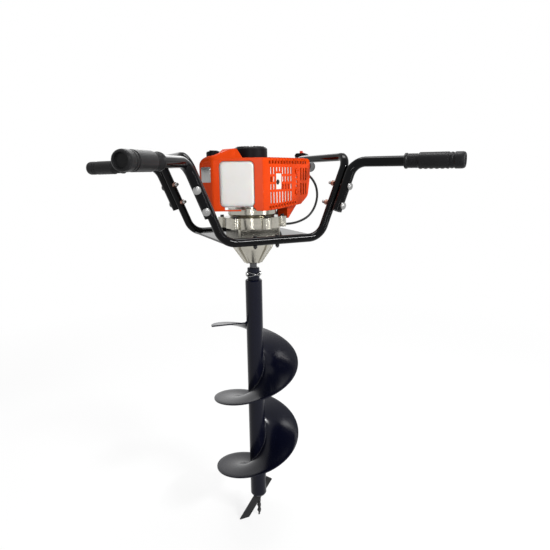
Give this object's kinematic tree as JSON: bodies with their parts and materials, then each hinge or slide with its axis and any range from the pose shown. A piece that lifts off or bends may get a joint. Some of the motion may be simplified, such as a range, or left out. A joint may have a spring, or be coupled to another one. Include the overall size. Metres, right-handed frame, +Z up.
{
  "type": "earth auger",
  "caption": "Two-operator petrol earth auger: tube cage with splayed grips, turned engine with slotted cover and fuel tank, reduction gearbox and a pinned screw bit",
  "frame": {"origin": "on the bit's axis at the point of the pilot, the lowest point of the object", "axes": "+Z up along the bit, +X along the front rail to the right seen from the operator of the front handles, +Y to the back"},
  "size_m": [0.7978, 0.7856, 1.1255],
  "materials": {
    "frame_black": "gloss black powder coat",
    "grip_rubber": "matt moulded rubber",
    "zinc_steel": "bright zinc plate",
    "yellow_zinc": "yellow zinc plate",
    "black_steel": "black oxide",
    "auger_black": "gloss black enamel",
    "machined_steel": "turned steel",
    "cast_aluminium": "die cast, warm grey",
    "muffler_steel": "pressed aluminised steel",
    "orange_cover": "moulded, vivid red orange",
    "tank_plastic": "milky blow-moulded plastic",
    "black_plastic": "fine-grained moulding",
    "grey_plastic": "moulded grey",
    "red_plastic": "moulded red",
    "black_rubber": "smooth rubber"
  },
  "bodies": {
    "frame": {"left_frame_tube": "frame_black", "right_frame_tube": "frame_black", "rail_spigots": "zinc_steel", "base_plate": "frame_black", "base_bolts": "black_steel", "front_left_handle": "frame_black", "front_right_handle": "frame_black", "rear_left_handle": "frame_black", "rear_right_handle": "frame_black", "front_left_grip": "grip_rubber", "front_right_grip": "grip_rubber", "rear_left_grip": "grip_rubber", "rear_right_grip": "grip_rubber", "handle_bolts": "zinc_steel", "handle_nuts": "yellow_zinc", "gear_case_lower": "cast_aluminium", "gear_case_upper": "cast_aluminium", "gear_case_screws": "black_steel", "bearings": "machined_steel", "oil_seal": "black_rubber", "clutch_housing": "cast_aluminium", "crankcase": "cast_aluminium", "cylinder_block": "cast_aluminium", "spark_plug": "machined_steel", "plug_boot": "black_rubber", "muffler": "muffler_steel", "muffler_guard": "orange_cover", "cylinder_cover": "orange_cover", "fuel_tank": "tank_plastic", "tank_guard": "orange_cover", "starter_housing": "black_plastic", "carburettor": "cast_aluminium", "air_filter_cover": "black_plastic", "throttle_housing": "black_plastic", "throttle_cable": "black_rubber"},
    "bit": {"auger_tube": "auger_black", "auger_flight": "auger_black", "cutting_blade": "black_steel", "pilot_point": "black_steel", "coupling_sleeve": "auger_black", "drive_pin": "zinc_steel", "pin_clip": "zinc_steel", "output_shaft": "machined_steel", "output_gear": "machined_steel"},
    "countershaft": {"layshaft": "machined_steel", "layshaft_gear": "machined_steel"},
    "drum": {"clutch_drum": "machined_steel"},
    "crank": {"crankshaft": "machined_steel", "clutch_rotor": "machined_steel", "flywheel": "cast_aluminium"},
    "piston_set": {"piston": "cast_aluminium", "connecting_rod": "machined_steel", "rod_pins": "machined_steel"},
    "pull_handle": {"starter_handle": "black_plastic"},
    "pulley": {"starter_pulley": "black_plastic"},
    "trigger": {"throttle_trigger": "grey_plastic"},
    "carb_lever": {"throttle_lever": "machined_steel"},
    "stop_switch": {"kill_switch": "red_plastic"},
    "choke": {"choke_lever": "black_plastic"},
    "tank_cap": {"fuel_cap": "black_plastic"}
  },
  "joints": [
    {"name": "auger_spin", "type": "hinge", "parent": "frame", "child": "bit", "pos_m": [0, 0, 0.8], "axis": [0, 0, 1], "continuous": true},
    {"name": "countershaft_spin", "type": "hinge", "parent": "frame", "child": "countershaft", "pos_m": [0, 0.0375, 0.91], "axis": [0, 0, 1], "continuous": true},
    {"name": "drum_spin", "type": "hinge", "parent": "frame", "child": "drum", "pos_m": [0, 0, 0.93], "axis": [0, 0, 1], "continuous": true},
    {"name": "crank_spin", "type": "hinge", "parent": "frame", "child": "crank", "pos_m": [0, 0, 1.013], "axis": [0, 0, 1], "continuous": true},
    {"name": "piston_slide", "type": "slide", "parent": "frame", "child": "piston_set", "axis": [0.8894, 0.4571, 0], "range_m": [-0.034, 0]},
    {"name": "starter_pull", "type": "slide", "parent": "frame", "child": "pull_handle", "axis": [0.014, 0.9999, 0], "range_m": [0, 0.05]},
    {"name": "starter_pulley_spin", "type": "hinge", "parent": "frame", "child": "pulley", "pos_m": [0, 0, 1.1], "axis": [0, 0, 1], "range_deg": [-96, 0]},
    {"name": "throttle_squeeze", "type": "hinge", "parent": "frame", "child": "trigger", "pos_m": [0.27903, 0.24527, 1.05946], "axis": [0.7912, -0.6115, 0], "range_deg": [0, 14], "stiffness_Nm_per_rad": 1, "springref_deg": -5.73},
    {"name": "throttle_lever_turn", "type": "hinge", "parent": "frame", "child": "carb_lever", "pos_m": [0.03031, 0.08978, 1.033], "axis": [0, 0, 1], "range_deg": [-57, 0]},
    {"name": "stop_switch_rock", "type": "hinge", "parent": "frame", "child": "stop_switch", "pos_m": [0.28176, 0.2488, 1.11243], "axis": [0.7912, -0.6115, 0], "range_deg": [0, 16]},
    {"name": "choke_turn", "type": "hinge", "parent": "frame", "child": "choke", "pos_m": [-0.00919, 0.10321, 1.029], "axis": [0.8894, 0.4571, 0], "range_deg": [0, 60]},
    {"name": "fuel_cap_turn", "type": "hinge", "parent": "frame", "child": "tank_cap", "pos_m": [-0.10634, -0.00968, 1.1], "axis": [0, 0, 1], "range_deg": [0, 270]}
  ],
  "couplings": [
    {"joint": "countershaft_spin", "follows": "auger_spin", "ratio": -4},
    {"joint": "drum_spin", "follows": "auger_spin", "ratio": 22.667},
    {"joint": "starter_pulley_spin", "follows": "starter_pull", "rad_per_m": -33.333},
    {"joint": "throttle_lever_turn", "follows": "throttle_squeeze", "ratio": -4}
  ]
}
